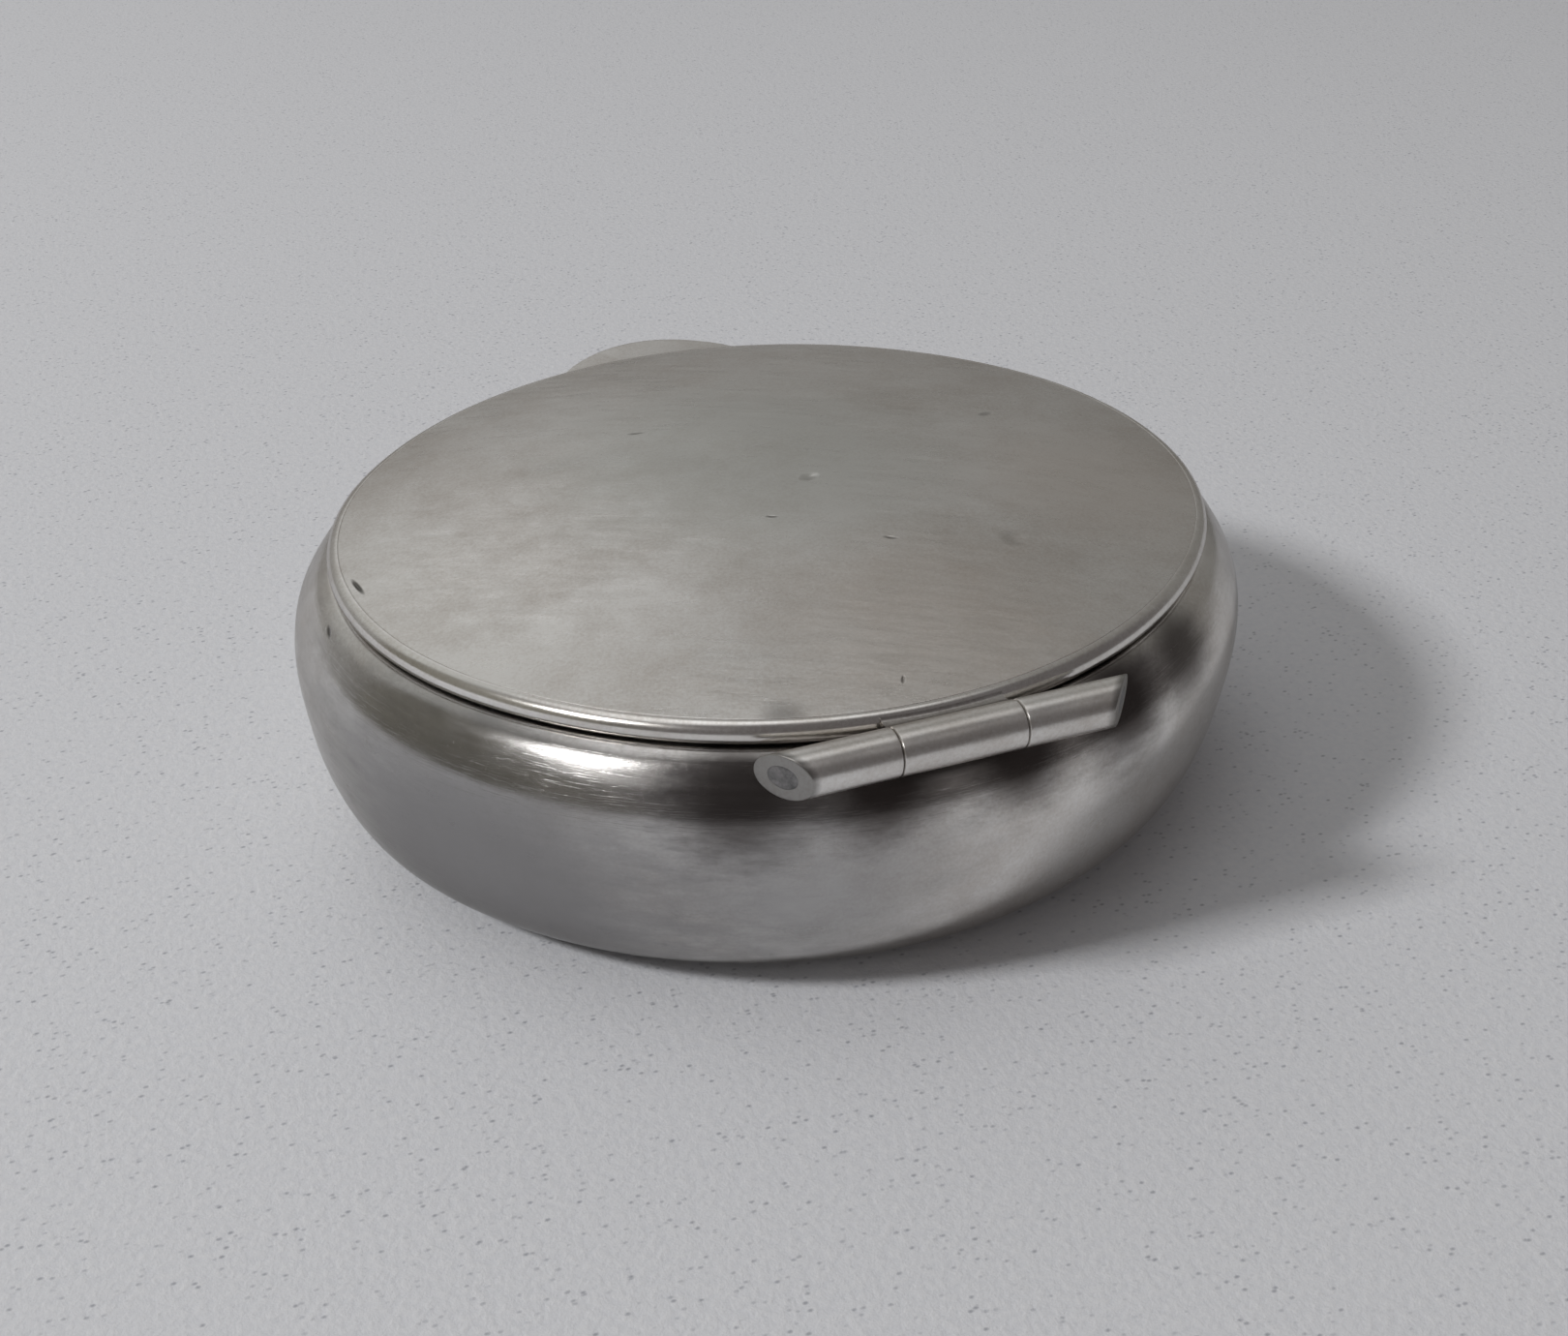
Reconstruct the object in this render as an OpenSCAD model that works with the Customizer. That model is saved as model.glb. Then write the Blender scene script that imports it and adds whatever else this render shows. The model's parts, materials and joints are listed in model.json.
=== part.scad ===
// Oval bombe pill box: a raised silver bowl with a turned-in shoulder, a gently domed lid
// inside a rounded rim band, a three-knuckle tube hinge and a crescent thumbpiece.
// The origin is the centre of the flat base. +Z is up, +X runs along the hinge, and the
// thumbpiece faces -Y. Every plan outline is a four-centred oval, and all the outlines are
// parallel offsets of the widest line of the body.

/* [Body] */
// Width across the widest line of the body, along the hinge
body_w = 45; // [41:0.5:60]
// Depth across the widest line of the body, front to back
body_d = 40.8; // [30:0.2:41]
// Height of the widest line above the base
belly_z = 9; // [6:0.25:14]
// How far the flat base lies in from the widest line
base_inset = 5; // [3:0.1:8]
// Fullness of the curve under the widest line (2 is an ellipse)
bowl_fullness = 2.4; // [1.6:0.1:3.2]
// Height of the shoulder above the widest line
shoulder_h = 3; // [2:0.1:5]
// Fullness of the curve over the widest line (2 is an ellipse)
shoulder_fullness = 1.6; // [1.2:0.1:2.4]
// Thickness of the body's sheet
body_wall = 0.6; // [0.4:0.05:1]

/* [Lid] */
// How far the lid lies in from the widest line of the body
lid_inset = 1.95; // [1.4:0.05:3]
// Gap between the shoulder and the underside of the rim band
lid_gap = 0.15; // [0.1:0.05:0.3]
// Height of the rim band
rim_h = 0.95; // [0.8:0.05:1.6]
// Thickness of the rim band, from its outline to its bore
rim_wall = 0.7; // [0.6:0.05:1]
// How far the rounded face of the rim band swells out
rim_swell = 0.2; // [0.1:0.05:0.3]
// Thickness of the lid's domed plate
plate_t = 0.45; // [0.35:0.05:0.6]
// Rise of the dome above the rim band
dome_rise = 1.55; // [0.8:0.05:3]

/* [Collar inside the mouth] */
// Thickness of the collar
collar_wall = 0.5; // [0.4:0.05:0.8]
// Clearance between the top of the collar and the edge of the lid's plate
collar_head = 0.15; // [0.1:0.05:0.3]
// Length of the collar below the shoulder
collar_down = 1; // [0.7:0.1:2]
// Running clearance between the collar and the rim band
collar_play = 0.08; // [0.05:0.01:0.15]

/* [Hinge] */
// Outer diameter of the knuckles
knuckle_od = 2; // [1.6:0.1:2.6]
// Diameter of the hinge pin
pin_d = 1; // [0.8:0.1:1.2]
// Radial running clearance of the pin in the centre knuckle
pin_play = 0.03; // [0.02:0.01:0.06]
// Length of the centre knuckle
centre_len = 5.3; // [4:0.1:8]
// Length of each end knuckle, to the middle of its bevel
end_len = 4.6; // [3:0.1:6]
// Gap between neighbouring knuckles
joint_gap = 0.06; // [0.04:0.01:0.1]
// Gap between the end knuckles and the rim band
hinge_gap = 0.2; // [0.1:0.01:0.3]
// Height of the hinge axis above the shoulder
hinge_rise = 0.35; // [0.2:0.05:0.6]
// Clearance of the centre knuckle in the groove filed in the shoulder
groove_play = 0.1; // [0.08:0.01:0.2]
// Angle of the bevels at the two ends of the hinge
bevel_angle = 40; // [20:1:60]

/* [Thumbpiece] */
// How far the thumbpiece reaches out from the rim band
thumb_reach = 2; // [1.4:0.1:3]
// Radius of the thumbpiece's rounded edge
thumb_r = 5.8; // [4:0.1:9]
// Thickness of the thumbpiece
thumb_t = 0.6; // [0.4:0.05:0.8]

/* [Hidden] */
$fn = 180;
arc_steps = 16;
dome_steps = 16;
far = 100;

// The four arcs of the widest line. The line through the centres of an end arc and a side
// arc rises 3 for every 4 along, so the radii and the centres follow from the two half axes.
half_w = body_w / 2;
half_d = body_d / 2;
end_x = 2 * (half_w - half_d);
end_r = half_w - end_x;
side_y = 0.75 * end_x;
side_r = half_d + side_y;

mouth_z = belly_z + shoulder_h;
rim_z = mouth_z + lid_gap;
rim_top = rim_z + rim_h;
plate_inset = lid_inset + rim_wall / 2;
dome_run = end_r - plate_inset;
collar_inset = lid_inset + rim_wall + collar_play;
collar_top = rim_top - plate_t - collar_head;
pin_r = pin_d / 2;
knuckle_r = knuckle_od / 2;
hinge_y = half_d - lid_inset + hinge_gap + knuckle_r;
hinge_z = mouth_z + hinge_rise;
hinge_end = centre_len / 2 + joint_gap + end_len;
thumb_z = rim_z + (rim_h - thumb_t) / 2;

// A curve that leaves "low" level and arrives at "high" upright, along a superellipse.
function swell(low, high, fullness) =
    [for (i = [0:arc_steps])
        let (t = 90 * i / arc_steps)
        [low[0] + (high[0] - low[0]) * pow(sin(t), 2 / fullness),
         low[1] + (high[1] - low[1]) * (1 - pow(cos(t), 2 / fullness))]];
function backwards(points) = [for (i = [len(points) - 1:-1:0]) points[i]];

// The outside of the bowl and of the shoulder, and the same curves a sheet's thickness in.
function bowl_curve(t) = swell([-base_inset, t], [-t, belly_z], bowl_fullness);
function shoulder_curve(t) = swell([-lid_inset, mouth_z - t], [-t, belly_z], shoulder_fullness);

// The rounded face of the rim band, from its lower edge to its upper edge.
function rim_face() =
    [for (i = [0:arc_steps])
        let (t = -90 + 180 * i / arc_steps)
        [-lid_inset - rim_swell * (1 - cos(t)), rim_z + rim_h * (1 + sin(t)) / 2]];

// The upper side of the lid's plate: a parabola from the rim band in to the flat crown.
function dome_curve(z) =
    [for (i = [0:dome_steps])
        let (k = i / dome_steps)
        [-plate_inset - dome_run * k, z + dome_rise * (1 - (1 - k) * (1 - k))]];

// The two shapes that the centres divide the plan into: the span of a side arc and the
// span of an end arc.
module side_span() {
    translate([0, 0, -far]) linear_extrude(2 * far)
        polygon([[-end_x, 0], [end_x, 0], [end_x + 4 * far, 3 * far], [-end_x - 4 * far, 3 * far]]);
}

module end_span() {
    translate([0, 0, -far]) linear_extrude(2 * far)
        polygon([[end_x, 0], [end_x + 4 * far, -3 * far], [end_x + 4 * far, 3 * far]]);
}

// The section between an edge and the axis of the arc that it is turned about. X along an
// edge is measured outwards from the widest line, so it is negative inside the box.
function out_to(radius, edge) = [for (p = edge) [radius + p[0], p[1]]];
function filled(radius, edge) =
    concat([[0, edge[0][1]]], out_to(radius, edge), [[0, edge[len(edge) - 1][1]]]);

// A form turned about the centre of the back's side arc only.
module side_form(edge) {
    translate([0, -side_y, 0]) rotate_extrude() polygon(filled(side_r, edge));
}

// An oval ring whose closed section is given.
module oval_ring(section) {
    for (m = [0, 1]) {
        mirror([0, m, 0]) intersection() {
            translate([0, -side_y, 0]) rotate_extrude() polygon(out_to(side_r, section));
            side_span();
        }
        mirror([m, 0, 0]) intersection() {
            translate([end_x, 0, 0]) rotate_extrude() polygon(out_to(end_r, section));
            end_span();
        }
    }
}

// An oval form, closed across its middle, whose edge is given.
module oval_form(edge) {
    for (m = [0, 1]) {
        mirror([0, m, 0]) intersection() {
            side_form(edge);
            side_span();
        }
        mirror([m, 0, 0]) intersection() {
            translate([end_x, 0, 0]) rotate_extrude() polygon(filled(end_r, edge));
            end_span();
        }
    }
}

// Cuts a child off with the upright bevels at both ends of the hinge.
module bevelled() {
    difference() {
        children();
        for (m = [0, 1])
            mirror([m, 0, 0]) translate([hinge_end, hinge_y, 0]) rotate(bevel_angle)
                translate([0, -far, -far]) cube(2 * far);
    }
}

module body_bowl() {
    color("silver") oval_form(concat(bowl_curve(0), backwards(bowl_curve(body_wall))));
}

// A rod on the hinge axis, centred on the middle of the hinge.
module hinge_rod(radius, length) {
    translate([-length / 2, hinge_y, hinge_z]) rotate([0, 90, 0]) cylinder(r = radius, h = length);
}

module body_shoulder() {
    color("silver") difference() {
        oval_ring(concat(
            backwards(shoulder_curve(0)),
            [[-collar_inset, mouth_z], [-collar_inset, mouth_z - body_wall]],
            shoulder_curve(body_wall)));
        hinge_rod(knuckle_r, 2 * hinge_end);
        hinge_rod(knuckle_r + groove_play, centre_len + 2 * joint_gap);
    }
}

module mouth_collar() {
    color("gainsboro") oval_ring([
        [-collar_inset, mouth_z - collar_down],
        [-collar_inset, collar_top],
        [-collar_inset - collar_wall, collar_top],
        [-collar_inset - collar_wall, mouth_z - collar_down]]);
}

// The section of the solder under an end knuckle, as multiples of the knuckle's radius from
// the hinge axis: from the knuckle's side, round outside the box and deep into the body.
function saddle_section() =
    [[-1, -hinge_rise / knuckle_r], [0, 0], [0.85, -0.5], [0.5, -1.2], [-0.3, -2.2],
     [-1.8, -2.2], [-1.8, -0.5]];

// The solder itself, trimmed to the shoulder. It starts where the knuckle does and runs
// past the bevel.
module end_saddle() {
    difference() {
        translate([centre_len / 2 + joint_gap, hinge_y, hinge_z]) rotate([90, 0, 90])
            linear_extrude(end_len + knuckle_od) polygon(knuckle_r * saddle_section());
        side_form(concat(bowl_curve(0), backwards(shoulder_curve(0))));
    }
}

module end_knuckle() {
    color("whitesmoke") bevelled() difference() {
        union() {
            difference() {
                hinge_rod(knuckle_r, far);
                translate([-far, 0, 0]) cube([far + centre_len / 2 + joint_gap, far, far]);
            }
            end_saddle();
        }
        hinge_rod(pin_r, far);
    }
}

module hinge_knuckle_left() {
    mirror([1, 0, 0]) end_knuckle();
}

module hinge_knuckle_right() {
    end_knuckle();
}

module hinge_pin() {
    color("lightgray") bevelled() hinge_rod(pin_r, far);
}

module lid_plate() {
    color("silver") oval_form(concat(backwards(dome_curve(rim_top - plate_t)), dome_curve(rim_top)));
}

module lid_rim() {
    color("whitesmoke") oval_ring(concat(
        rim_face(),
        [[-plate_inset, rim_top], [-plate_inset, rim_top - plate_t],
         [-lid_inset - rim_wall, rim_top - plate_t], [-lid_inset - rim_wall, rim_z]]));
}

module hinge_knuckle_centre() {
    color("whitesmoke") difference() {
        union() {
            hinge_rod(knuckle_r, centre_len);
            translate([-centre_len / 2, hinge_y - knuckle_r - lid_inset, rim_z + rim_swell])
                cube([centre_len, knuckle_r + lid_inset, rim_h - 2 * rim_swell]);
        }
        side_form(rim_face());
        hinge_rod(pin_r + pin_play, far);
    }
}

module thumbpiece() {
    color("silver") difference() {
        translate([0, -(half_d - lid_inset + thumb_reach - thumb_r), thumb_z])
            cylinder(r = thumb_r, h = thumb_t);
        mirror([0, 1, 0]) side_form(rim_face());
    }
}

body_bowl();
body_shoulder();
mouth_collar();
hinge_knuckle_left();
hinge_knuckle_right();
hinge_pin();
lid_plate();
lid_rim();
hinge_knuckle_centre();
thumbpiece();
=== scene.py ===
"""Looks of an old oval silver pill box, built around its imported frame.

Every surface is worked out with numpy in millimetres, in the frame's own axes, and is turned
into metres when it becomes a mesh. Plan outlines are four-centred ovals: a place on the box is
given by the direction of its outline's normal and by how far it lies out from the widest line.
"""
import json
import math

import bpy
import numpy as np
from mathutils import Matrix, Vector


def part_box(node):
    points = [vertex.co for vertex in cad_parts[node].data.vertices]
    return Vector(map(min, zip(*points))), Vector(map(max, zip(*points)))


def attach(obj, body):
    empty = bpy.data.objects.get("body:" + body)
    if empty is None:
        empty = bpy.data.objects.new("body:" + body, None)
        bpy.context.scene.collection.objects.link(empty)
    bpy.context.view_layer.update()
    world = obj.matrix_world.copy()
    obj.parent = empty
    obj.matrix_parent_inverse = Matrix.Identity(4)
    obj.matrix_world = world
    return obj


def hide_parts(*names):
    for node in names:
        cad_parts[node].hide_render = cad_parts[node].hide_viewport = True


MM = 0.001
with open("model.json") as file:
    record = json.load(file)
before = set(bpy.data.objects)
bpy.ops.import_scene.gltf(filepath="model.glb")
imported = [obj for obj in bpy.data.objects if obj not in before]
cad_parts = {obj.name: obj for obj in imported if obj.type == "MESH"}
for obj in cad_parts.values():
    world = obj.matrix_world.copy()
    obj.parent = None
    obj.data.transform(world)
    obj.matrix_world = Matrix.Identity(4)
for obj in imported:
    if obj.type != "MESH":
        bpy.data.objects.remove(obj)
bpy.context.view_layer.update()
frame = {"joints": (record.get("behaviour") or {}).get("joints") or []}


def box_mm(node):
    """Lowest and highest corner of a frame node, in millimetres."""
    low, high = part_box(node)
    return np.array(low) / MM, np.array(high) / MM


# Corners of the frame's nodes
BOWL_HIGH = box_mm("body_bowl")[1]
SHOULDER_HIGH = box_mm("body_shoulder")[1]
RIM_LOW, RIM_HIGH = box_mm("lid_rim")
PLATE_HIGH = box_mm("lid_plate")[1]
COLLAR_LOW, COLLAR_HIGH = box_mm("mouth_collar")
PIN_HIGH = box_mm("hinge_pin")[1]
CENTRE_HIGH = box_mm("hinge_knuckle_centre")[1]
END_LOW = box_mm("hinge_knuckle_right")[0]
THUMB_LOW, THUMB_HIGH = box_mm("thumbpiece")
HINGE_Y, HINGE_Z = (v / MM for v in frame["joints"][0]["pos_m"][1:])

# The oval of the widest line: two end arcs and two side arcs, joined by 3-4-5 triangles
HALF_W, HALF_D = BOWL_HIGH[0], BOWL_HIGH[1]
END_X = 2 * (HALF_W - HALF_D)
END_R = HALF_W - END_X
SIDE_Y = 0.75 * END_X
SIDE_R = HALF_D + SIDE_Y
END_ARC_COSINE = 0.8

# Heights, and how far the outlines lie in from the widest line
BELLY_Z = BOWL_HIGH[2]
MOUTH_Z = SHOULDER_HIGH[2]
LID_INSET = HALF_W - RIM_HIGH[0]
RIM_Z, RIM_TOP = RIM_LOW[2], RIM_HIGH[2]
CROWN_Z = PLATE_HIGH[2]
COLLAR_INSET = HALF_W - COLLAR_HIGH[0]

# The hinge
KNUCKLE_R = CENTRE_HIGH[2] - HINGE_Z
PIN_R = PIN_HIGH[2] - HINGE_Z
CENTRE_HALF = CENTRE_HIGH[0]
END_START = END_LOW[0]
BEVEL = math.radians(40)
HINGE_END = PIN_HIGH[0] - PIN_R * math.tan(BEVEL)

# Thicknesses of the metal, and how much the rim's underside is drawn in
BODY_WALL = 0.6
PLATE_T = 0.45
RIM_WALL = 0.7
RIM_SWELL = 0.3
COLLAR_WALL = 0.5
# Gap between the centre knuckle and its groove in the shoulder
GROOVE_PLAY = 0.28


# ---------------------------------------------------------------- outlines and meshes

def oval_frame(direction):
    """Centre, radius and normal of the oval at each outline direction. An end arc serves the
    directions within the 3-4-5 triangle's angle of the X axis, and a side arc all others."""
    normal = np.stack([np.cos(direction), np.sin(direction)], -1)
    on_end = np.abs(normal[..., 0]) > END_ARC_COSINE
    centre = np.where(on_end[..., None],
                      np.stack([np.sign(normal[..., 0]) * END_X, 0 * direction], -1),
                      np.stack([0 * direction, -np.sign(normal[..., 1]) * SIDE_Y], -1))
    return centre, np.where(on_end, END_R, SIDE_R), normal


def oval_point(direction, out, z):
    """Arc centre plus (arc radius + out) times the outline's normal, at height z."""
    centre, radius, normal = oval_frame(direction)
    plan = centre + (radius + out)[..., None] * normal
    return np.concatenate([plan, np.broadcast_to(z, plan.shape[:-1])[..., None]], -1)


def directions(count):
    return np.linspace(0, 2 * np.pi, count, endpoint=False)


def back_y(x, out):
    """Y of the back's side arc, at a place x along the hinge and so far out."""
    return np.sqrt((SIDE_R + out) ** 2 - x ** 2) - SIDE_Y


def spline(points, count):
    """Natural cubic spline through the points, by chord length, at even steps."""
    p = np.asarray(points, float)
    t = np.concatenate([[0], np.cumsum(np.linalg.norm(np.diff(p, axis=0), axis=1))])
    h = np.diff(t)
    n = len(p)
    a = np.eye(n)
    rhs = np.zeros_like(p)
    for i in range(1, n - 1):
        a[i, i - 1:i + 2] = h[i - 1], 2 * (h[i - 1] + h[i]), h[i]
        rhs[i] = 6 * ((p[i + 1] - p[i]) / h[i] - (p[i] - p[i - 1]) / h[i - 1])
    bend = np.linalg.solve(a, rhs)
    s = np.linspace(0, t[-1], count)
    i = np.clip(np.searchsorted(t, s, side="right") - 1, 0, n - 2)
    u, v = (t[i + 1] - s)[:, None], (s - t[i])[:, None]
    hi = h[i][:, None]
    return ((bend[i] * u ** 3 + bend[i + 1] * v ** 3) / (6 * hi)
            + (p[i] / hi - bend[i] * hi / 6) * u + (p[i + 1] / hi - bend[i + 1] * hi / 6) * v)


def grid_faces(rows, columns, wrap_rows, wrap_columns):
    """Quads between neighbouring rows and columns, closed round where asked."""
    r = np.arange(rows if wrap_rows else rows - 1)
    c = np.arange(columns if wrap_columns else columns - 1)
    r, c = np.meshgrid(r, c, indexing="ij")
    r2, c2 = (r + 1) % rows, (c + 1) % columns
    return np.stack([r * columns + c, r * columns + c2, r2 * columns + c2, r2 * columns + c],
                    -1).reshape(-1, 4)


def enclosed(points, faces):
    """The volume inside a closed mesh: negative where its faces point inwards."""
    total = 0.0
    for f in faces:
        for k in range(1, f.shape[1] - 1):
            a, b, c = points[f[:, 0]], points[f[:, k]], points[f[:, k + 1]]
            total += np.einsum("ij,ij->i", a, np.cross(b, c)).sum() / 6
    return total


def new_piece(name, points, faces, material):
    """A smooth closed mesh object, facing outwards, from points in millimetres."""
    inside_out = enclosed(np.asarray(points, float), faces) < 0
    flat = [f[:, ::-1] if inside_out else f for f in faces]
    mesh = bpy.data.meshes.new(name)
    loops = np.concatenate([f.ravel() for f in flat])
    sizes = np.concatenate([np.full(len(f), f.shape[1]) for f in flat])
    mesh.vertices.add(len(points))
    mesh.vertices.foreach_set("co", (np.asarray(points, float) * MM).ravel())
    mesh.loops.add(len(loops))
    mesh.loops.foreach_set("vertex_index", loops)
    mesh.polygons.add(len(sizes))
    mesh.polygons.foreach_set("loop_start", np.concatenate([[0], np.cumsum(sizes)[:-1]]))
    mesh.update(calc_edges=True)
    mesh.validate()
    mesh.polygons.foreach_set("use_smooth", np.ones(len(mesh.polygons), bool))
    mesh.set_sharp_from_angle(angle=math.radians(38))
    mesh.materials.append(material)
    piece = bpy.data.objects.new(name, mesh)
    bpy.context.scene.collection.objects.link(piece)
    return piece


def closed_sweep(name, grid, material):
    """A grid of rows and columns that closes on itself both ways."""
    rows, columns = grid.shape[:2]
    return new_piece(name, grid.reshape(-1, 3), [grid_faces(rows, columns, True, True)],
                     material)


def capped_sweep(name, grid, material):
    """A stack of closed rings, with a fan on the first and on the last ring's middle."""
    rows, columns = grid.shape[:2]
    points = np.concatenate([grid.reshape(-1, 3), grid[0].mean(0)[None], grid[-1].mean(0)[None]])
    ring = np.arange(columns)
    after = (ring + 1) % columns
    start, end = rows * columns, rows * columns + 1
    last = (rows - 1) * columns
    fans = np.concatenate([np.stack([after, ring, np.full(columns, start)], -1),
                           np.stack([last + ring, last + after, np.full(columns, end)], -1)])
    return new_piece(name, points, [grid_faces(rows, columns, False, True), fans],
                     material)


def rounded(section, radius, steps=4):
    """A closed section with each sharp corner replaced by a small quadratic curve."""
    p = np.asarray(section, float)
    before, after = np.roll(p, 1, 0) - p, np.roll(p, -1, 0) - p
    lb = np.linalg.norm(before, axis=1, keepdims=True)
    la = np.linalg.norm(after, axis=1, keepdims=True)
    start = p + before / lb * np.minimum(radius, lb * 0.45)
    end = p + after / la * np.minimum(radius, la * 0.45)
    t = np.linspace(0, 1, steps + 1)[None, :, None]
    curve = (1 - t) ** 2 * start[:, None] + 2 * t * (1 - t) * p[:, None] + t ** 2 * end[:, None]
    return curve.reshape(-1, 2)


# ---------------------------------------------------------------- hand-made unevenness

def ripple(x, y, seed, longest, count=9):
    """A sum of cosine waves of random directions, with lengths from longest down to a third."""
    draw = np.random.default_rng(seed)
    total = np.zeros_like(x)
    for _ in range(count):
        way, phase = draw.uniform(0, 2 * np.pi, 2)
        length = longest * draw.uniform(0.33, 1)
        total += np.cos(2 * np.pi * (x * np.cos(way) + y * np.sin(way)) / length + phase)
    return total / count


def dents(x, y, marks):
    """The sum of bell-shaped hollows, each (x, y, half width, half length, depth)."""
    total = np.zeros_like(x)
    for mx, my, across, along, depth in marks:
        total -= depth * np.exp(-((x - mx) / across) ** 2 - ((y - my) / along) ** 2)
    return total


# ---------------------------------------------------------------- materials

class Nodes:
    """Short calls for building the node tree of a material, or of the room's world."""

    def __init__(self, owner, coordinates="Object"):
        owner.use_nodes = True
        self.owner = owner
        self.tree = owner.node_tree
        self.tree.nodes.clear()
        self.coords = self.node("ShaderNodeTexCoord").outputs[coordinates]

    def node(self, kind, inputs=(), **settings):
        made = self.tree.nodes.new(kind)
        for key, value in settings.items():
            setattr(made, key, value)
        for key, value in dict(inputs).items():
            self.put(made.inputs[key], value)
        return made

    def put(self, socket, value):
        if isinstance(value, bpy.types.NodeSocket):
            self.tree.links.new(value, socket)
        else:
            socket.default_value = value

    def placed(self, stretch=(1, 1, 1), turn=0.0, centre=(0, 0, 0)):
        """Coordinates in millimetres from a centre, turned about Z, then stretched."""
        shift = self.node("ShaderNodeMapping", {"Vector": self.coords, "Scale": (1000,) * 3,
                                                "Location": tuple(-c for c in centre)})
        turned = self.node("ShaderNodeMapping", {"Vector": shift.outputs[0],
                                                 "Rotation": (0, 0, -math.radians(turn))})
        return self.node("ShaderNodeMapping", {"Vector": turned.outputs[0],
                                               "Scale": stretch}).outputs[0]

    def noise(self, vector, scale, detail=3.0, roughness=0.5):
        return self.node("ShaderNodeTexNoise", {"Vector": vector, "Scale": scale,
                                                "Detail": detail,
                                                "Roughness": roughness}).outputs["Fac"]

    def math(self, operation, a, b=0.0):
        return self.node("ShaderNodeMath", {0: a, 1: b}, operation=operation).outputs[0]

    def span(self, value, low, high, to_low=0.0, to_high=1.0, kind="LINEAR"):
        """Value taken from low..high to to_low..to_high, and held there."""
        return self.node("ShaderNodeMapRange",
                         {"Value": value, "From Min": low, "From Max": high,
                          "To Min": to_low, "To Max": to_high}, interpolation_type=kind
                         ).outputs["Result"]

    def away(self, centre, stretch=(1, 1, 1), turn=0.0):
        """Distance in millimetres from a centre, in stretched space."""
        return self.node("ShaderNodeVectorMath", {0: self.placed(stretch, turn, centre)},
                         operation="LENGTH").outputs["Value"]

    def mix(self, factor, a, b):
        made = self.node("ShaderNodeMix", data_type="RGBA")
        self.put(made.inputs[0], factor)
        self.put(made.inputs[6], (*a, 1) if isinstance(a, tuple) else a)
        self.put(made.inputs[7], (*b, 1) if isinstance(b, tuple) else b)
        return made.outputs[2]

    def bump(self, height, strength, microns, normal=None):
        inputs = {"Height": height, "Strength": strength, "Distance": microns * 1e-6}
        if normal is not None:
            inputs["Normal"] = normal
        return self.node("ShaderNodeBump", inputs).outputs[0]

    def surface(self, **inputs):
        """The principled shader and the output, with the given inputs."""
        shader = self.node("ShaderNodeBsdfPrincipled")
        for key, value in inputs.items():
            self.put(shader.inputs[key.replace("_", " ")], value)
        self.node("ShaderNodeOutputMaterial", {"Surface": shader.outputs[0]})
        return self.owner


def silver_worn_and_shaded(name, bright, tarnish, rough, cloud=0.04, wiping=0.06, turn=0.0, flat=False,
                wear=1.0, stains_and_painted_shade=(), nicks_and_painted_shade=(), crossed=0.0):
    """Old silver. Its tone wanders between bright and tarnished in wide soft patches and in a
    small mottling; its satin varies in clouds and along the wiping direction; and it carries
    wiping lines, crossing hairlines and a fine grain. Each darker patch is (centre, radius, share,
    colour): some are real smudges and tarnish, and some are painted shade. Each nick or painted
    shade mark is (centre, radius, narrowing, turn, darkness, microns deep), its darkness painted
    into the colour. Where it is crossed by fine marks at right angles to X, its reflections
    spread along X."""
    n = Nodes(bpy.data.materials.new(name))
    plain = n.placed()
    lying = (0.22, 0.22, 3.4) if flat else (0.30, 2.6, 2.6)
    hair = (0.5, 0.5, 26) if flat else (0.45, 22, 22)
    patches = n.noise(n.placed(centre=(31, 7, 3)), 0.10, 3.0, 0.55)
    mottle = n.noise(plain, 0.55, 5.0, 0.62)
    wipes = n.noise(n.placed(lying, turn), 1.0, 4.0, 0.6)
    lines = n.noise(n.placed(hair, turn + 3), 1.0, 3.0, 0.7)
    cross = n.noise(n.placed((0.7, 24, 24), turn + 57), 1.0, 2.0, 0.6)
    grain = n.noise(plain, 7.0, 3.0, 0.7)
    tone = n.math("ADD", n.span(patches, 0.35, 0.65, 0.0, 0.55),
                  n.math("ADD", n.span(mottle, 0.3, 0.7, -0.22, 0.22),
                         n.span(grain, 0.3, 0.7, -0.30, 0.30)))
    colour = n.mix(n.span(tone, 0, 1), bright, tarnish)
    ragged = n.span(n.noise(n.placed((0.5, 0.5, 1.6), 0, (5, 3, 9)), 0.9, 6.0, 0.68),
                    0.3, 0.7, 0.85, 1.15)
    # Each patch mixes its own colour in: real smudges and tarnish, and painted shade.
    for centre, radius, share, patch_colour in stains_and_painted_shade:
        reach = n.math("MULTIPLY", n.away(centre), ragged)
        colour = n.mix(n.span(reach, radius, 0.2 * radius, 0.0, share, "SMOOTHSTEP"), colour, patch_colour)
    rough_here = n.math("ADD", n.span(mottle, 0.3, 0.7, rough - cloud, rough + cloud),
                        n.span(wipes, 0.3, 0.7, -wiping, wiping))
    hairs = n.math("ADD", n.span(lines, 0.58, 0.70), n.span(cross, 0.66, 0.72, 0.0, 0.7))
    normal = n.bump(wipes, 0.25 * wear, 7)
    normal = n.bump(hairs, 0.5 * wear, 1.6, normal)
    normal = n.bump(grain, 0.35 * wear, 3.0, normal)
    for centre, radius, narrowing, nick_turn, dark, depth in nicks_and_painted_shade:
        away = n.away(centre, (1, narrowing, 1), nick_turn)
        normal = n.bump(n.span(away, 0, radius, kind="SMOOTHSTEP"), 1.0, depth, normal)
        # The darkness is painted into the colour, for real nicks and for the painted shade marks.
        if dark:
            colour = n.mix(n.span(away, radius, 0.5 * radius, 0.0, dark), colour, GRIME_AND_SHADE)
    spread = {}
    if crossed:
        spread = {"Anisotropic": crossed,
                  "Tangent": n.node("ShaderNodeCombineXYZ", {0: 1.0}).outputs[0]}
    return n.surface(Base_Color=colour, Metallic=1.0, Roughness=rough_here, Normal=normal,
                     Specular_Tint=DULL_EDGE, **spread)


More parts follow.
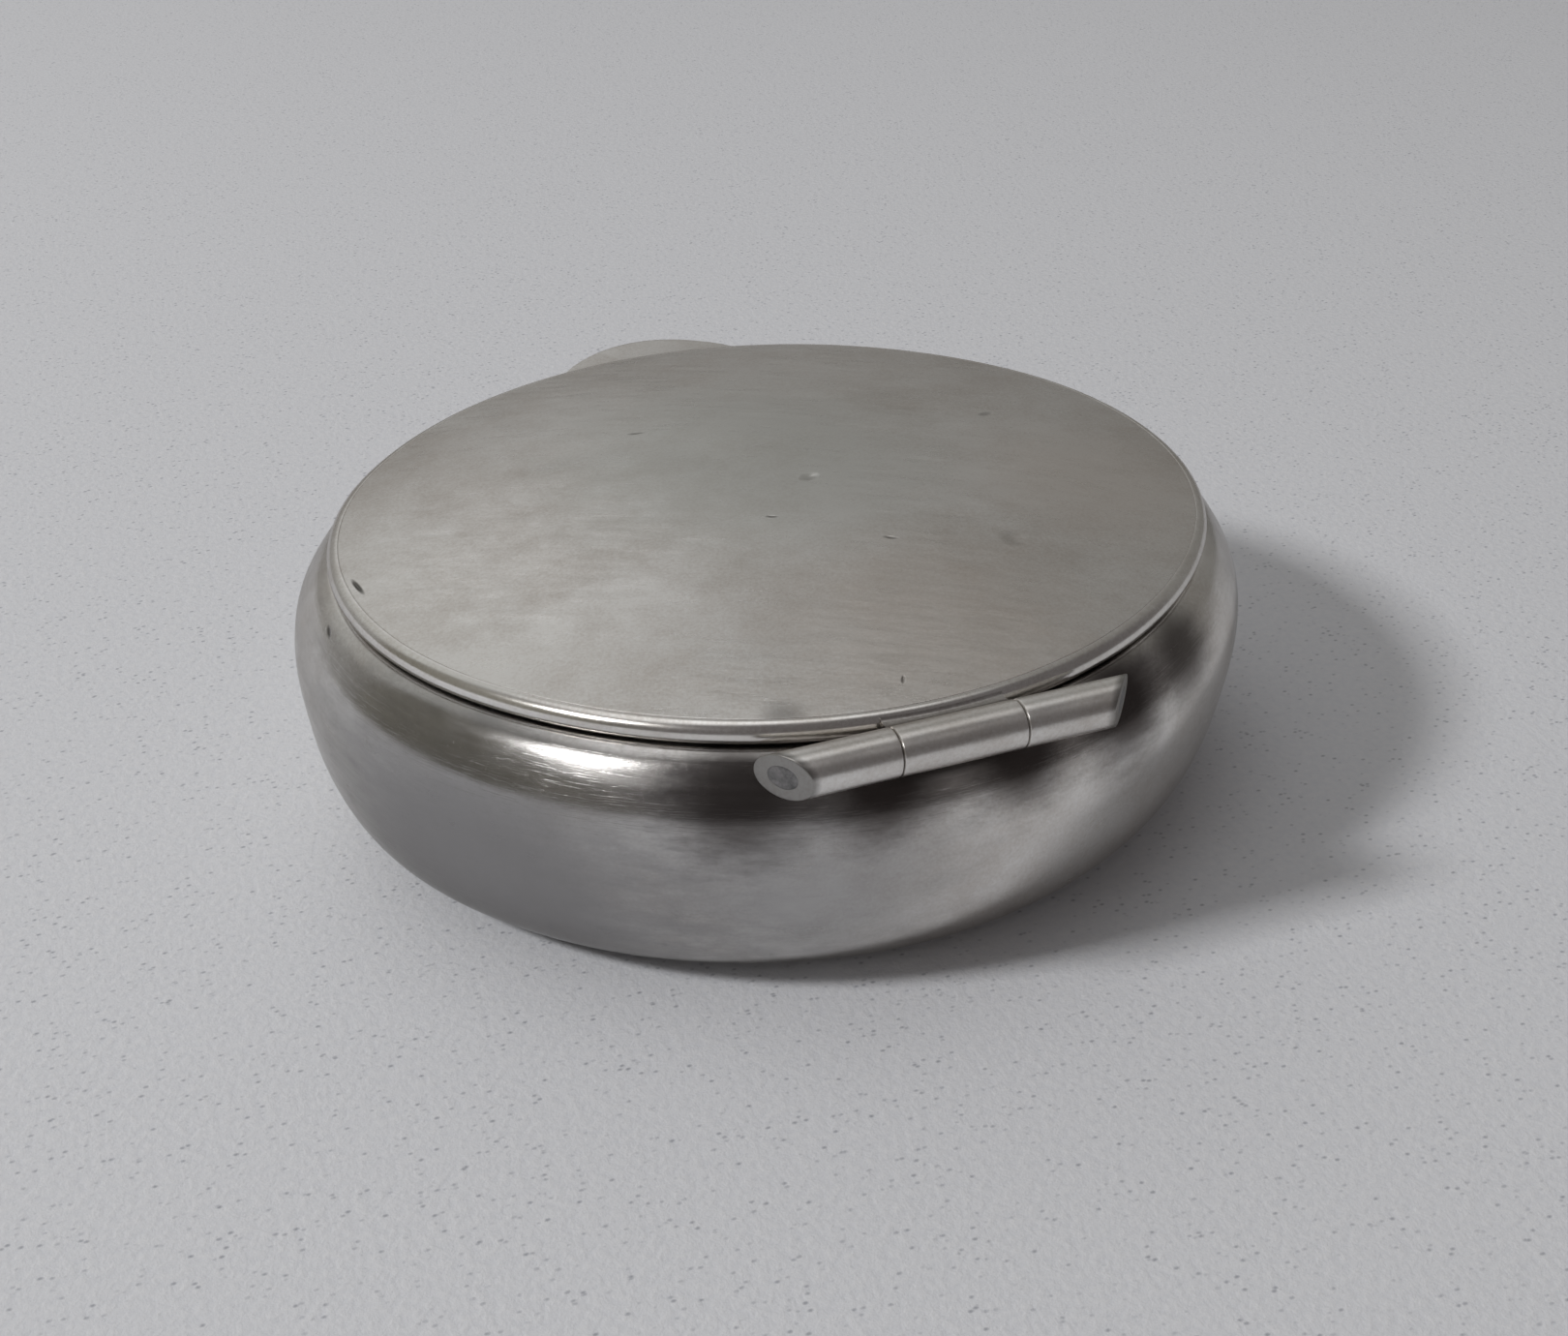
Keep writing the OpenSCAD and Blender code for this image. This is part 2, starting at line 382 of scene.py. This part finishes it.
def filed_wire(name):
    """Dull filed silver, with coarse file marks across it."""
    n = Nodes(bpy.data.materials.new(name))
    marks = n.noise(n.placed((9, 2, 2), 35), 1.0, 4.0, 0.7)
    colour = n.mix(n.span(marks, 0.35, 0.65), (0.14, 0.14, 0.14), (0.34, 0.33, 0.33))
    return n.surface(Base_Color=colour, Metallic=1.0, Roughness=n.span(marks, 0.3, 0.7, 0.42, 0.6),
                     Normal=n.bump(marks, 0.9, 30))


def pitted_surface(name):
    """The pale table: matt, faintly blue, with a grain of small dark pits."""
    n = Nodes(bpy.data.materials.new(name))
    plain = n.placed()
    pits = n.node("ShaderNodeTexVoronoi", {"Vector": n.placed((1.0, 1.5, 1)), "Scale": 1.75,
                                           "Randomness": 1.0})
    spread = n.noise(plain, 0.8, 3.0, 0.6)
    hollow = n.math("MULTIPLY", n.span(pits.outputs["Distance"], 0.26, 0.08),
                    n.span(spread, 0.38, 0.56))
    soft = n.noise(plain, 2.6, 4.0, 0.6)
    pale = n.mix(n.span(soft, 0.35, 0.65), (0.71, 0.72, 0.755), (0.755, 0.76, 0.785))
    colour = n.mix(n.math("MULTIPLY", hollow, 0.6), pale, (0.22, 0.23, 0.27))
    normal = n.bump(soft, 0.9, 60, n.bump(hollow, -0.8, 60))
    return n.surface(Base_Color=colour, Roughness=0.75, Normal=normal)


# ---------------------------------------------------------------- the box

BASE_INSET = 5.0
SWELLING = 0.035
CURVE_STEPS = 116
# The body's curve, as shares of the base's inset and of the height of the widest line, then
# as shares of the lid's inset and of the height of the shoulder
UNDER = [(1, 0), (0.56, 0.05), (0.265, 0.20), (0.088, 0.44), (0.02, 0.68), (0, 0.955)]
OVER = [(0.215, 0.40), (0.513, 0.717), (0.785, 0.917), (1, 1)]
PLAN_STEPS = 480


def body_curve():
    """Outer curve of the body from the base to the mouth, as (out, z), and the same curve a
    wall's thickness in along its normals. Both are cut in two at the widest line's height."""
    knots = [(-BASE_INSET * a, BELLY_Z * b) for a, b in UNDER]
    knots += [(-LID_INSET * a, BELLY_Z + (MOUTH_Z - BELLY_Z) * b) for a, b in OVER]
    outer = spline(knots, CURVE_STEPS)
    tangent = np.gradient(outer, axis=0)
    tangent /= np.linalg.norm(tangent, axis=1, keepdims=True)
    inner = outer + BODY_WALL * np.stack([-tangent[:, 1], tangent[:, 0]], -1)
    seam = np.searchsorted(outer[:, 1], BELLY_Z)
    share = (BELLY_Z - outer[seam - 1, 1]) / (outer[seam, 1] - outer[seam - 1, 1])
    halves = []
    for curve in (outer, inner):
        joint = curve[seam - 1] * (1 - share) + curve[seam] * share
        halves.append((np.vstack([curve[:seam], joint]), np.vstack([joint, curve[seam:]])))
    return halves


def body_wall(section):
    """Rings of the body's wall: the oval at each (out, z), swollen in and out a few hundredths
    of a millimetre by a ripple that fades at the base and at the mouth."""
    section = np.asarray(section, float)
    out, z = section[:, 0][:, None], section[:, 1][:, None]
    way = directions(PLAN_STEPS)[None, :]
    plain = oval_point(way + 0 * z, out + 0 * way, z + 0 * way)
    fade = np.sin(np.pi * np.clip(z / MOUTH_Z, 0, 1))
    swelling = SWELLING * fade * ripple(plain[..., 0] + 1.1 * z, plain[..., 1] - 0.8 * z, 5, 17)
    return oval_point(way + 0 * z, out + swelling, z + 0 * way)


def floor_rings(ring, shares):
    """Copies of a ring, shrunk towards the middle by each share."""
    return ring[None] * np.concatenate([np.repeat(np.asarray(shares)[:, None], 2, 1),
                                        np.ones((len(shares), 1))], 1)[:, None, :]


def bowl(material):
    """The bowl: out across the base, up the outer curve, over the seam and back down inside."""
    (outer, _), (inner, _) = body_curve()
    wall = body_wall(np.vstack([outer, inner[::-1]]))
    shares = np.linspace(0.06, 0.97, 14)
    grid = np.concatenate([floor_rings(wall[0], shares), wall,
                           floor_rings(wall[-1], shares[::-1])])
    return capped_sweep("bowl", grid, material)


def hinge_groove(points):
    """Pushes points away from the hinge axis, to leave the centre knuckle its clearance."""
    dy, dz = points[..., 1] - HINGE_Y, points[..., 2] - HINGE_Z
    distance = np.hypot(dy, dz)
    past = np.clip((np.abs(points[..., 0]) - CENTRE_HALF - 0.02) / 0.08, 0, 1)
    want = KNUCKLE_R + GROOVE_PLAY * (1 - past) - 0.06 * past
    near = np.abs(points[..., 0]) < HINGE_END
    push = np.where(near, np.maximum(want / distance, 1), 1)
    moved = points.copy()
    moved[..., 1] = HINGE_Y + dy * push
    moved[..., 2] = HINGE_Z + dz * push
    return moved


def shoulder(material):
    """The shoulder: up the outer curve, in across the mouth, and back down inside."""
    (_, outer), (_, inner) = body_curve()
    lip = rounded([outer[-1] - (0.02, 0), (-COLLAR_INSET, MOUTH_Z),
                   (-COLLAR_INSET, MOUTH_Z - BODY_WALL)], 0.02, 2)[3:6]
    lip = np.vstack([lip, (-COLLAR_INSET, MOUTH_Z - BODY_WALL)])
    return closed_sweep("shoulder", hinge_groove(body_wall(np.vstack([outer, lip,
                                                                      inner[::-1]]))), material)


def oval_strip(name, section, material):
    """A closed section carried round the oval."""
    section = np.asarray(section, float)
    way = directions(PLAN_STEPS)[None, :]
    out, z = section[:, 0][:, None], section[:, 1][:, None]
    return closed_sweep(name, oval_point(way + 0 * z, out + 0 * way, z + 0 * way), material)


def collar(material):
    inner = -COLLAR_INSET - COLLAR_WALL
    section = [(-COLLAR_INSET, COLLAR_LOW[2]), (-COLLAR_INSET, COLLAR_HIGH[2]),
               (inner, COLLAR_HIGH[2]), (inner, COLLAR_LOW[2])]
    return oval_strip("mouth_collar_ring", rounded(section, 0.15), material)


# ---------------------------------------------------------------- the lid

# Width of the rim's rolled top, and the share of the rim's height where it is widest
RIM_ROLL = 0.55
RIM_BELLY = 0.4
PLATE_EDGE = LID_INSET + RIM_ROLL
PLATE_LAP = 0.03
DOME_POWER = 2.4
# Unevenness of the dome, and how far its very edge turns down into the rim
DOME_RIPPLE = 0.03
EDGE_DIP = 0.04


def rim(material):
    """The rim band: a wide quarter ellipse that rolls over from the plate's edge, a small one
    under it, and a step inside for the plate, carried round the oval."""
    widest_z = RIM_Z + RIM_BELLY * (RIM_TOP - RIM_Z)
    t = np.radians(np.linspace(0, 88, 21))
    roll = np.stack([-LID_INSET - RIM_ROLL * (1 - np.cos(t)),
                     widest_z + (RIM_TOP - widest_z) * np.sin(t)], -1)
    u = np.radians(np.linspace(-90, 0, 9))[:-1]
    under = np.stack([-LID_INSET - RIM_SWELL * (1 - np.cos(u)),
                      widest_z + (widest_z - RIM_Z) * np.sin(u)], -1)
    inner = -LID_INSET - RIM_WALL
    step = [(-PLATE_EDGE - 0.08, RIM_TOP - 0.06), (-PLATE_EDGE - 0.08, RIM_TOP - PLATE_T),
            (inner, RIM_TOP - PLATE_T), (inner, RIM_Z)]
    return oval_strip("rim_band", np.vstack([under, roll, step]), material)


def dome_height(share):
    """1 at the middle and 0 at the edge: one less the share of the way out to a power."""
    return 1 - share ** DOME_POWER


def plate(material, marks):
    """The domed plate: out along its underside, round its edge, and back over the top, which
    carries the lid's unevenness and its dents."""
    q = np.linspace(0.02, 1, 110)
    top_share = (1 - (1 - q) ** 2)[::-1]
    under_share = np.linspace(0.03, 0.995, 36)
    share = np.concatenate([under_share, [1.0], top_share])[:, None]
    upper = np.concatenate([np.zeros(37), np.ones(110)])[:, None]
    way = directions(480)[None, :]
    edge = oval_point(way, np.full(way.shape, -PLATE_EDGE + PLATE_LAP), 0 * way)[0]
    x, y = share * edge[:, 0], share * edge[:, 1]
    z = RIM_TOP + (CROWN_Z - RIM_TOP) * dome_height(share) - PLATE_T * (1 - upper) + 0 * x
    fade = np.sin(np.pi * np.clip(share, 0, 1) ** 1.5)
    z += DOME_RIPPLE * fade * ripple(x, y, 11, 15) + upper * dents(x, y, marks)
    z -= upper * EDGE_DIP * np.clip((share - 0.997) / 0.003, 0, 1) ** 2
    return capped_sweep("domed_plate", np.stack([x, y, z], -1), material)


# Half width of the crescent, the radius of its outer edge, and how far it curls up
THUMB_HALF = 4.75
THUMB_R = 5.8
THUMB_LIFT = 0.06


def thumb(material):
    """The crescent: for each place along it, a flat section with a rounded outer edge, which
    reaches from the rim band out to a circle and curls up a little."""
    circle_y = THUMB_LOW[1] + THUMB_R
    along = np.linspace(-1, 1, 81)[:, None]
    x = THUMB_HALF * along
    root = -back_y(x, -LID_INSET - 0.12)
    edge = np.minimum(circle_y - np.sqrt(THUMB_R ** 2 - x ** 2), root - 0.03)
    thick = THUMB_HIGH[2] - THUMB_LOW[2]
    t = np.radians(np.linspace(90, 270, 13))
    nose = 0.5 * thick
    reach = np.concatenate([[0, 0.3, 0.6, 0.85], 1 + 0 * t, [0.85, 0.6, 0.3, 0]])
    back = np.concatenate([[0] * 4, 1 + np.cos(t), [0] * 4]) * nose
    height = np.concatenate([[1] * 4, np.sin(t), [-1] * 4]) * nose
    y = root + (edge - root) * reach
    y = y + np.minimum(back, 0.6 * (root - edge)) * (reach >= 1)
    lift = THUMB_LIFT * ((root - y) / (root - THUMB_LOW[1])) ** 2
    z = (THUMB_LOW[2] + THUMB_HIGH[2]) / 2 + height * (0.75 + 0.25 * (1 - along ** 2)) + lift
    return capped_sweep("thumb_crescent", np.stack([x + 0 * y, y, z], -1), material)


# ---------------------------------------------------------------- the hinge

# Easing of the tubes' edges, the bulge of the pin's ends, and where solder meets the tubes
EDGE_EASE = 0.07
PIN_BULGE = 0.05
SOLDER_R = KNUCKLE_R - 0.04


def knuckle(name, start, end, bore, material, side=1):
    """A tube along the hinge axis: each ring has a radius and an x that may lean with y, out
    along the outside with eased edges, across the end and back along the bore."""
    t = np.linspace(0, 1, 5)
    turn = directions(96)[None, :]
    curve_r = KNUCKLE_R - EDGE_EASE * (1 - np.sqrt(1 - (1 - t) ** 2))
    rings = [(r, start, EDGE_EASE * k) for r, k in zip(curve_r, t)]
    middle = np.linspace(0, 1, 12)[1:-1]
    rings += [(KNUCKLE_R, None, m) for m in middle]
    rings += [(r, end, -EDGE_EASE * k) for r, k in zip(curve_r[::-1], t[::-1])]
    rings += [(bore, end, 0.0), (bore, start, 0.0)]
    rows = []
    for r, place, shift in rings:
        ahead = r * np.cos(turn)
        if place is None:
            x = (1 - shift) * start(ahead) + shift * end(ahead)
        else:
            x = place(ahead) + shift
        rows.append(np.stack([side * x, HINGE_Y + ahead, HINGE_Z + r * np.sin(turn)], -1)[0])
    return closed_sweep(name, np.stack(rows), material)


def bevelled_end(ahead):
    """The bevel's x at a distance ahead of the axis, away from the box."""
    return HINGE_END - ahead * math.tan(BEVEL)


def pin(material):
    """The wire: a rod whose two ends are filed to the bevels and bulge very slightly."""
    turn = directions(64)[None, :]
    radii = PIN_R * np.array([0.08, 0.4, 0.7, 0.9, 0.97, 1.0])
    bulge = PIN_BULGE * (1 - (radii / PIN_R) ** 2)
    rows = []
    for side in (-1, 1):
        order = slice(None) if side < 0 else slice(None, None, -1)
        for r, b in zip(radii[order], bulge[order]):
            ahead = r * np.cos(turn)
            rows.append(np.stack([side * (bevelled_end(ahead) + b), HINGE_Y + ahead,
                                  HINGE_Z + r * np.sin(turn)], -1)[0])
    return capped_sweep("pin_wire", np.stack(rows), material)


def bow(a, b, sag, count=9):
    """A quadratic curve from a to b, drawn towards the point sag."""
    t = np.linspace(0, 1, count)[:, None]
    return (1 - t) ** 2 * a + 2 * t * (1 - t) * sag + t ** 2 * b


def on_knuckle(angle, radius):
    """A point of the hinge's cross-section, at an angle above straight away from the box."""
    angle = math.radians(angle)
    return np.array([HINGE_Y + radius * math.cos(angle), HINGE_Z + radius * math.sin(angle)])


def end_solder(side, material):
    """Solder under an end knuckle. At each place along it the section runs from the tube down
    to the shoulder in a hollow curve on both sides, and closes inside the metal. Its outer end
    leans with the bevel, and dies away onto the shoulder."""
    curve = body_curve()[0]
    curve = np.vstack([curve[0], curve[1][1:]])
    rows = []
    for share in np.linspace(0, 1, 40):
        x = END_START + share * (HINGE_END - END_START)
        skin = np.stack([back_y(x, curve[:, 0]), curve[:, 1]], -1)
        steps = np.concatenate([[0], np.cumsum(np.linalg.norm(np.diff(skin, axis=0), axis=1))])
        nearest = np.argmin(np.hypot(skin[:, 0] - HINGE_Y, skin[:, 1] - HINGE_Z))

        def along(offset):
            at = steps[nearest] + offset
            return np.array([np.interp(at, steps, skin[:, k]) for k in (0, 1)])

        sink = np.clip((share - 0.75) / 0.25, 0, 1) ** 2
        low, high = along(-0.95), along(0.65)
        foot = along(0)
        inward = np.array([-0.12, -0.06])
        outer = bow(low + inward, on_knuckle(-35, SOLDER_R), along(-0.30) + (0.10, -0.02))
        inner = bow(on_knuckle(195, SOLDER_R), high + inward, along(0.25))
        core = on_knuckle(260, 0.8 * KNUCKLE_R)
        section = np.vstack([outer, core, inner, foot + 2 * inward])
        section = (1 - 0.9 * sink) * section + 0.9 * sink * (foot + 2 * inward)
        lean = np.clip((section[:, 0] - HINGE_Y) * math.tan(BEVEL), -0.6, 1.2)
        reach = x - 0.03 - share ** 2 * (1 - 0.5 * sink) * lean
        rows.append(np.stack([side * reach, section[:, 0], section[:, 1]], -1))
    return capped_sweep("hinge_solder_" + ("right" if side > 0 else "left"), np.stack(rows),
                        material)


def centre_seat(material):
    """The seat that joins the centre knuckle to the rim band: hollow above and below."""
    rows = []
    for x in CENTRE_HALF * np.sin(np.radians(np.linspace(-89, 89, 31))):
        face = back_y(x, -LID_INSET)
        high = np.array([face - 0.13, RIM_TOP - 0.10])
        low = np.array([face - 0.10, RIM_Z + 0.14])
        upper = bow(high, on_knuckle(128, SOLDER_R), np.array([face + 0.10, RIM_Z + 0.55]))
        lower = bow(on_knuckle(198, SOLDER_R), low, np.array([face + 0.06, RIM_Z + 0.3]))
        inside = np.array([[face - 0.3, RIM_Z + 0.45]])
        section = np.vstack([upper, on_knuckle(165, 0.7 * KNUCKLE_R), lower, inside])
        rows.append(np.stack([x + 0 * section[:, 0], section[:, 0], section[:, 1]], -1))
    return capped_sweep("hinge_seat", np.stack(rows), material)


# ---------------------------------------------------------------- finishes

# Clean and tarnished silver, then the colours of its marks from faint to black, the darker ones
# serving for real smudges and nicks and for painted shade
BRIGHT = (0.86, 0.845, 0.82)
TARNISH = (0.62, 0.575, 0.53)
GREY_STAIN_AND_SHADE = (0.285, 0.28, 0.283)
DULLED = (0.58, 0.60, 0.565)
WARM = (0.80, 0.72, 0.655)
SMUDGE_AND_SHADE = (0.07, 0.058, 0.054)
GRIME_AND_SHADE = (0.05, 0.045, 0.04)
# Tarnished silver brightens less towards its outline than clean metal
DULL_EDGE = (0.72, 0.71, 0.70, 1)
body_silver = silver_worn_and_shaded(
    "body_silver_worn_and_shaded", BRIGHT, TARNISH, 0.22, wiping=0.04, flat=True, wear=1.7,
    # Grey patches: those on the lower body towards +X, on the hinge side and at the -X end are
    # painted shade, standing for the dark reflections there; the one on the far side and the faint
    # one at the +X end only darken the metal.
    stains_and_painted_shade=[((18, 12, 4), 17.5, 0.92, GREY_STAIN_AND_SHADE), ((6, 20, 7), 9.5, 0.6, GREY_STAIN_AND_SHADE),
            ((-8, -19, 5), 14, 0.7, GREY_STAIN_AND_SHADE), ((-21, 7, 7), 8, 0.8, GREY_STAIN_AND_SHADE),
            ((21, -9, 8), 9, 0.35, GREY_STAIN_AND_SHADE),
            # Near-black patches along the shoulder under the hinge and past its -X end are painted
            # shade, for the shade and dark reflections under the knuckles; the faint one on the
            # shoulder at the thumb side is a smudge.
            ((8.5, 18.2, 10.8), 4.2, 0.85, SMUDGE_AND_SHADE), ((3.0, 19.4, 10.9), 3.8, 0.95, SMUDGE_AND_SHADE),
            ((-3.0, 19.4, 10.9), 3.8, 0.95, SMUDGE_AND_SHADE), ((-8.5, 18.0, 10.9), 4.2, 0.95, SMUDGE_AND_SHADE),
            ((-13.0, 15.8, 11.3), 3.6, 0.8, SMUDGE_AND_SHADE),
            ((6.0, -18.6, 11.4), 4.0, 0.35, SMUDGE_AND_SHADE)],
    # The first is a real nick; the second, a long dark line of colour only under the centre
    # knuckle, is painted shade for the dark gap there.
    nicks_and_painted_shade=[((21.15, 1.45, 11.65), 0.5, 4.0, 85, 0.8, 40),
           ((0, 19.44, 11.1), 3.4, 11, 0, 0.85, 0)])
lid_silver = silver_worn_and_shaded(
    "lid_silver_wiped", BRIGHT, TARNISH, 0.33, wiping=0.07, turn=-28, wear=1.9,
    stains_and_painted_shade=[((1, -2, 14), 13, 0.45, DULLED), ((-2, 14, 14), 9, 0.4, WARM),
            ((-14, 5, 14), 8, 0.35, WARM), ((6.2, 17.0, 13.4), 1.3, 0.45, SMUDGE_AND_SHADE)],
    nicks_and_painted_shade=[((-7.85, 8.9, 14.14), 0.75, 1, 0, 0.1, 60), ((-1.35, 1.1, 14.64), 0.6, 1.5, 20, 0, 60),
           ((19.6, 0.95, 13.22), 0.9, 6.5, 99, 0.8, 60),
           ((1.6, 4.0, 14.6), 0.35, 2.5, 160, 0.3, 40),
           ((-2.6, 7.4, 14.45), 0.4, 2.5, 150, 0.35, 40),
           ((4.5, -6.5, 14.45), 0.5, 3, 170, 0.3, 25),
           ((-12.4, -3.0, 14.1), 0.5, 2, 20, 0.3, 25), ((0.9, 16.5, 13.4), 0.3, 2.5, 60, 0.5, 40)])
rim_silver = silver_worn_and_shaded("rim_silver_bright", BRIGHT, TARNISH, 0.22, wiping=0.03, flat=True,
                         wear=0.5)
hinge_silver = silver_worn_and_shaded(
    "hinge_silver_polished", BRIGHT, TARNISH, 0.36, wiping=0.04, wear=0.8, crossed=0.8,
    # These marks have no depth: they only darken the bevelled end of each end knuckle, round the
    # pin.
    nicks_and_painted_shade=[((side * HINGE_END, HINGE_Y, HINGE_Z), 2.6, 7.0, 90 + side * 40, 0.62, 0)
           for side in (-1, 1)])
solder_silver = silver_worn_and_shaded("solder_silver", (0.55, 0.53, 0.51), (0.30, 0.27, 0.25), 0.30)
inner_silver = silver_worn_and_shaded("inner_silver_plain", BRIGHT, TARNISH, 0.30)
pin_silver = filed_wire("pin_silver_filed")

# Dents in the lid, each (x, y, half width, half length, depth)
LID_DENTS = [(13.4, 4.0, 1.2, 4.5, 0.035), (2.5, -3.0, 1.3, 1.3, 0.02),
             (-4.0, -7.5, 1.6, 1.0, 0.02), (8.5, -5.5, 3.0, 1.0, 0.02),
             (-12.5, -3.0, 1.5, 0.8, 0.02), (-3.0, 10.5, 2.2, 1.0, 0.015)]


# ---------------------------------------------------------------- assembly

def settle(piece, body, slot, *nodes):
    """The piece rides on its body and stands for its nodes, which are hidden. The slot is not used.
    """
    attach(piece, body)
    if nodes:
        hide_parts(*nodes)


settle(bowl(body_silver), "box", "body_silver", "body_bowl")
settle(shoulder(body_silver), "box", "body_silver", "body_shoulder")
settle(collar(inner_silver), "box", "inner_silver", "mouth_collar")
for side, node in ((-1, "hinge_knuckle_left"), (1, "hinge_knuckle_right")):
    tube = knuckle(node + "_tube", lambda ahead: END_START + 0 * ahead, bevelled_end,
                   PIN_R + 0.01, hinge_silver, side)
    settle(tube, "box", "hinge_silver", node)
    settle(end_solder(side, solder_silver), "box", "hinge_silver")
settle(pin(pin_silver), "box", "pin_wire", "hinge_pin")
settle(plate(lid_silver, LID_DENTS), "lid", "lid_silver", "lid_plate")
settle(rim(rim_silver), "lid", "rim_silver", "lid_rim")
settle(knuckle("hinge_knuckle_centre_tube", lambda ahead: -CENTRE_HALF + 0 * ahead,
               lambda ahead: CENTRE_HALF + 0 * ahead, PIN_R + 0.03, hinge_silver),
       "lid", "hinge_silver", "hinge_knuckle_centre")
settle(centre_seat(solder_silver), "lid", "hinge_silver")
settle(thumb(lid_silver), "lid", "lid_silver", "thumbpiece")


# ---------------------------------------------------------------- table, light and camera

TABLE_HALF = 0.45


def table():
    """A flat square of table, 0.9 metres across."""
    corners = [(x * TABLE_HALF, y * TABLE_HALF, 0) for x, y in ((-1, -1), (1, -1), (1, 1), (-1, 1))]
    mesh = bpy.data.meshes.new("table_top")
    mesh.from_pydata(corners, [], [(0, 1, 2, 3)])
    mesh.materials.append(pitted_surface("table_pale"))
    made = bpy.data.objects.new("table_top", mesh)
    bpy.context.scene.collection.objects.link(made)


def turned_to(azimuth, elevation):
    """them: azimuth 0 is at -Y and 90 at +X."""
    a, e = math.radians(azimuth), math.radians(elevation)
    return Vector((math.sin(a) * math.cos(e), -math.cos(a) * math.cos(e), math.sin(e)))


def softbox(name, azimuth, elevation, distance, width, power, lights_table):
    """A square lamp that looks at the box. It either lights the table or shines in the metal."""
    lamp = bpy.data.lights.new(name, "AREA")
    lamp.shape = "SQUARE"
    lamp.size = width
    lamp.energy = power
    made = bpy.data.objects.new(name, lamp)
    back = turned_to(azimuth, elevation)
    made.location = back * distance
    made.rotation_mode = "QUATERNION"
    made.rotation_quaternion = back.to_track_quat("Z", "Y")
    made.visible_glossy = not lights_table
    made.visible_diffuse = lights_table
    bpy.context.scene.collection.objects.link(made)


# The room's tones, as the metal mirrors them, and the backdrop that the camera sees
DIM = (0.21, 0.205, 0.195)
FRONT = (0.32, 0.315, 0.305)
LOW_GLOW = (0.68, 0.68, 0.68)
SIDE_GLOW = (0.50, 0.50, 0.48)
CEILING = (1.0, 1.0, 1.0)
OLIVE_WALL = (0.19, 0.18, 0.155)
DARK_CORNER = (0.12, 0.112, 0.112)
BACKDROP = (0.50, 0.505, 0.52)


def room():
    """A plain room, by direction: pale in front, with two soft glows, and white overhead; an
    olive wall with a crisp edge round the back; and a dark corner behind the hinge. Past the
    table's edge the camera sees a plain backdrop in its place."""
    n = Nodes(bpy.data.worlds.new("room"), "Generated")
    height = n.node("ShaderNodeSeparateXYZ", {0: n.coords}).outputs["Z"]

    def towards(azimuth, elevation):
        return n.node("ShaderNodeVectorMath", {0: n.coords, 1: turned_to(azimuth, elevation)},
                      operation="DOT_PRODUCT").outputs["Value"]

    pale = n.mix(n.span(towards(20, 15), 0.3, 1.0), DIM, FRONT)
    pale = n.mix(n.span(towards(358, 36), 0.94, 1.0), pale, LOW_GLOW)
    pale = n.mix(n.span(towards(32, 42), 0.86, 1.0), pale, SIDE_GLOW)
    pale = n.mix(n.span(height, 0.86, 0.95), pale, CEILING)
    wall = n.math("MULTIPLY", n.span(towards(148, 0), -0.01, 0.02), n.span(height, 0.76, 0.70))
    seen = n.mix(wall, pale, OLIVE_WALL)
    seen = n.mix(n.span(towards(200, 18), 0.24, 0.50), seen, DARK_CORNER)
    ray = n.node("ShaderNodeLightPath")
    seen = n.mix(ray.outputs["Is Camera Ray"], seen, BACKDROP)
    light = n.node("ShaderNodeBackground", {"Color": seen})
    n.node("ShaderNodeOutputWorld", {"Surface": light.outputs[0]})
    bpy.context.scene.world = n.owner


CAMERA_AZIMUTH, CAMERA_ELEVATION = 158.6, 34.5
CAMERA_DISTANCE = 0.0974
SENSOR_MM, LENS_MM = 36, 44.4


def camera():
    """The camera, seen from behind the hinge and a little above."""
    lens = bpy.data.cameras.new("camera")
    lens.sensor_width = SENSOR_MM
    lens.lens = LENS_MM
    lens.shift_x, lens.shift_y = 0.007, 0.0415
    lens.clip_start, lens.clip_end = 0.005, 5
    made = bpy.data.objects.new("camera", lens)
    back = turned_to(CAMERA_AZIMUTH, CAMERA_ELEVATION)
    made.location = back * CAMERA_DISTANCE
    made.rotation_mode = "QUATERNION"
    made.rotation_quaternion = back.to_track_quat("Z", "Y")
    bpy.context.scene.collection.objects.link(made)
    bpy.context.scene.camera = made


table()
room()
softbox("window_on_table", azimuth=89, elevation=40, distance=0.8, width=0.12, power=3.4,
        lights_table=True)
softbox("window_in_metal", azimuth=116, elevation=42, distance=0.8, width=0.17, power=1.3,
        lights_table=False)
camera()
bpy.context.scene.view_settings.view_transform = "Standard"
